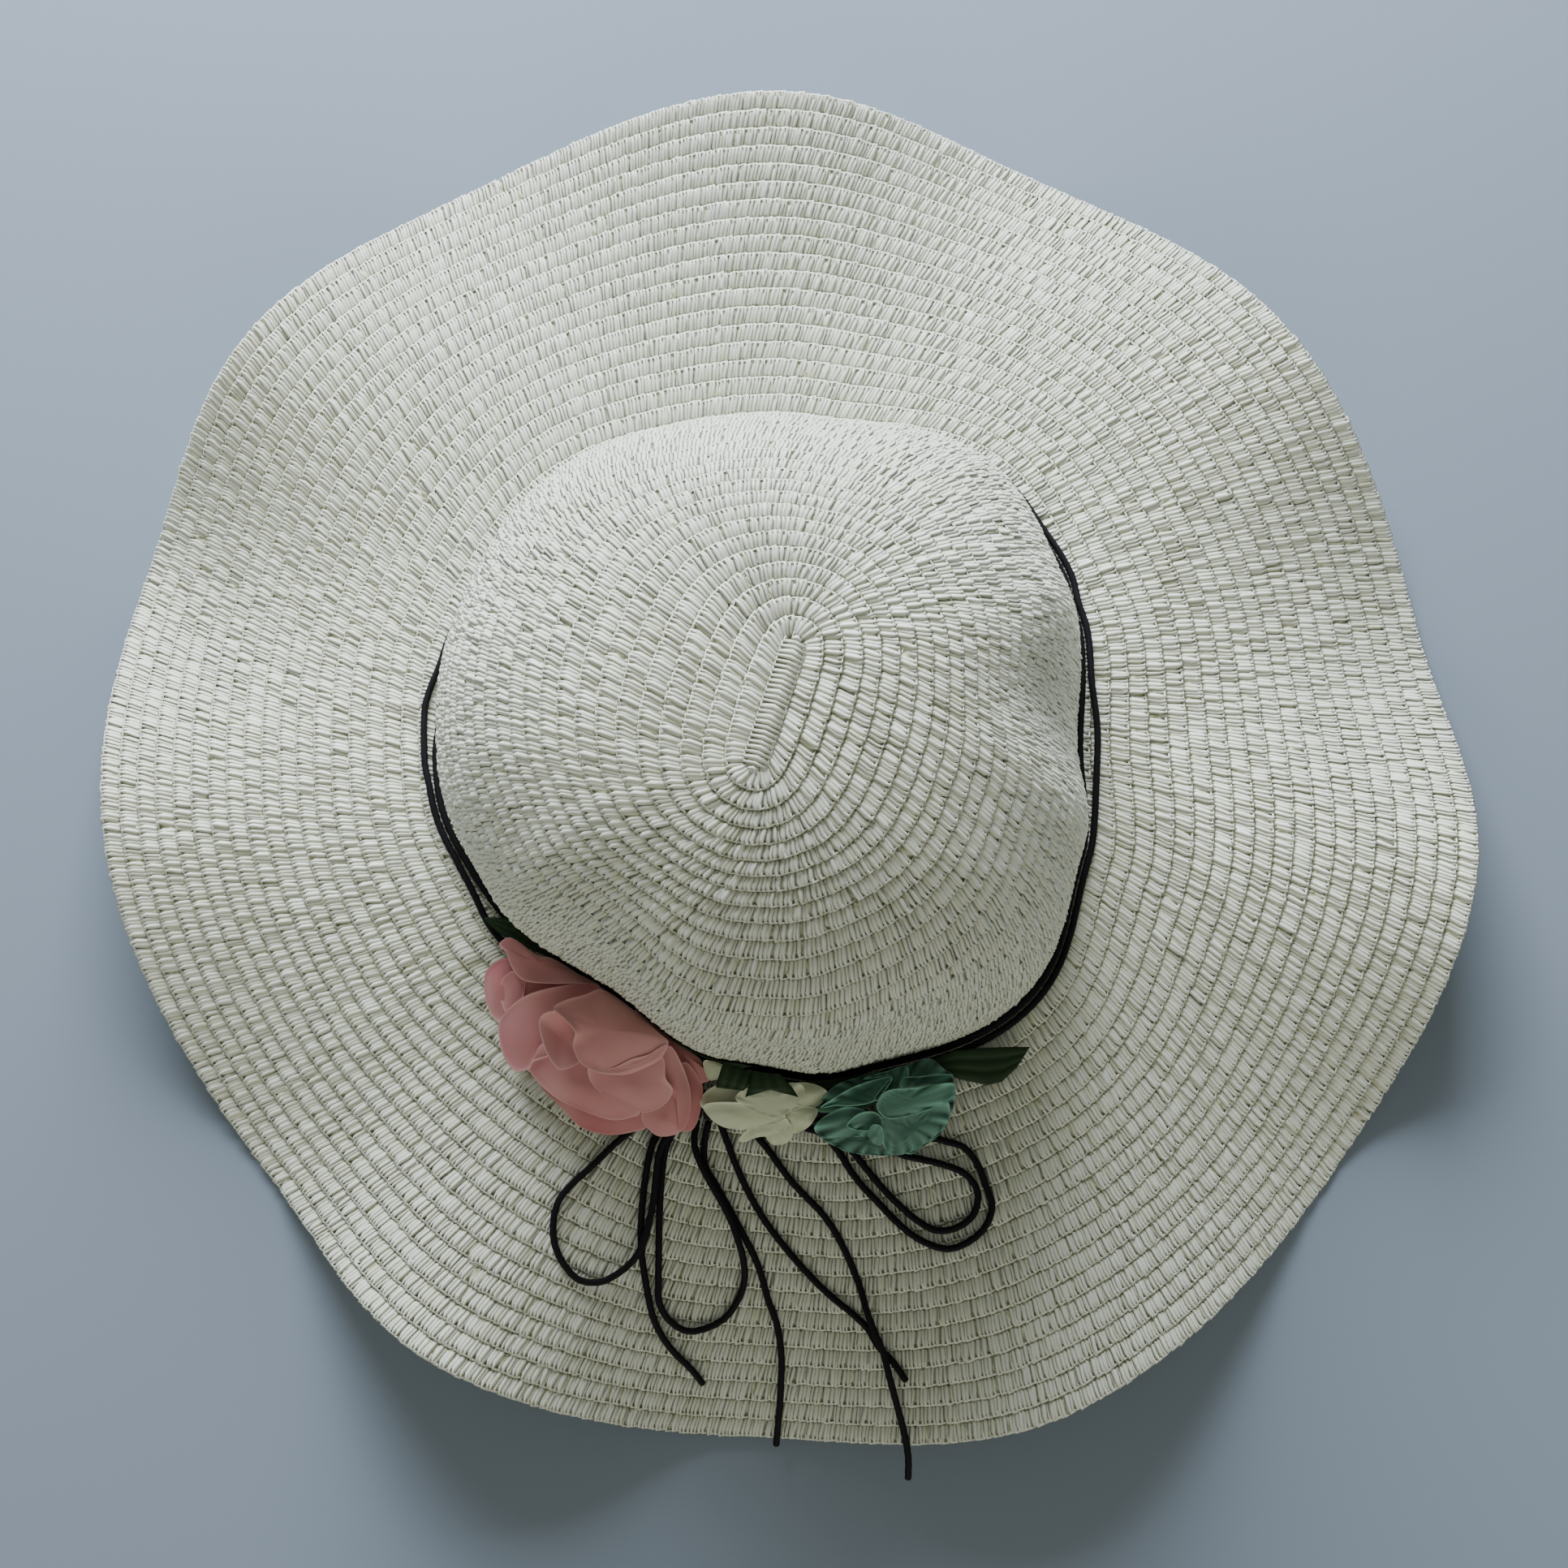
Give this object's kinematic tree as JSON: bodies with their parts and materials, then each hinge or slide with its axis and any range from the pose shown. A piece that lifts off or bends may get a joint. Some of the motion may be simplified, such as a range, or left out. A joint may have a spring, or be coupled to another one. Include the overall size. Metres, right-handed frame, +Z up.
{
  "type": "straw sun hat",
  "caption": "Wide-brimmed sun hat of sewn straw braid with a wavy brim, a thin dark cord tied in a bow round the crown, and cloth flowers with leaves.",
  "frame": {"origin": "under the middle of the brim, on the surface that the brim's lowest waves stand on", "axes": "+Z up through the crown, -Y towards the flowers and the bow, +X towards the wearer's left"},
  "size_m": [0.409, 0.4174, 0.1393],
  "materials": {
    "straw": "plaited paper straw, slightly glossy",
    "cord": "tightly woven cord",
    "pink_cloth": "matt chiffon",
    "white_cloth": "sheer chiffon",
    "teal_cloth": "satin",
    "leaf_satin": "satin"
  },
  "bodies": {
    "root": {"crown": "straw", "brim": "straw", "band_inner": "cord", "band_outer": "cord", "bow_knot": "cord", "loop_left_outer": "cord", "loop_left_inner": "cord", "loop_right_outer": "cord", "loop_right_inner": "cord", "tail_a": "cord", "tail_b": "cord", "tail_c": "cord", "tail_d": "cord", "flower_pink": "pink_cloth", "flower_white": "white_cloth", "flower_teal": "teal_cloth", "leaf_left": "leaf_satin", "leaf_front_left": "leaf_satin", "leaf_front_right": "leaf_satin", "leaf_ribbon": "leaf_satin", "leaf_right": "leaf_satin"}
  },
  "joints": []
}
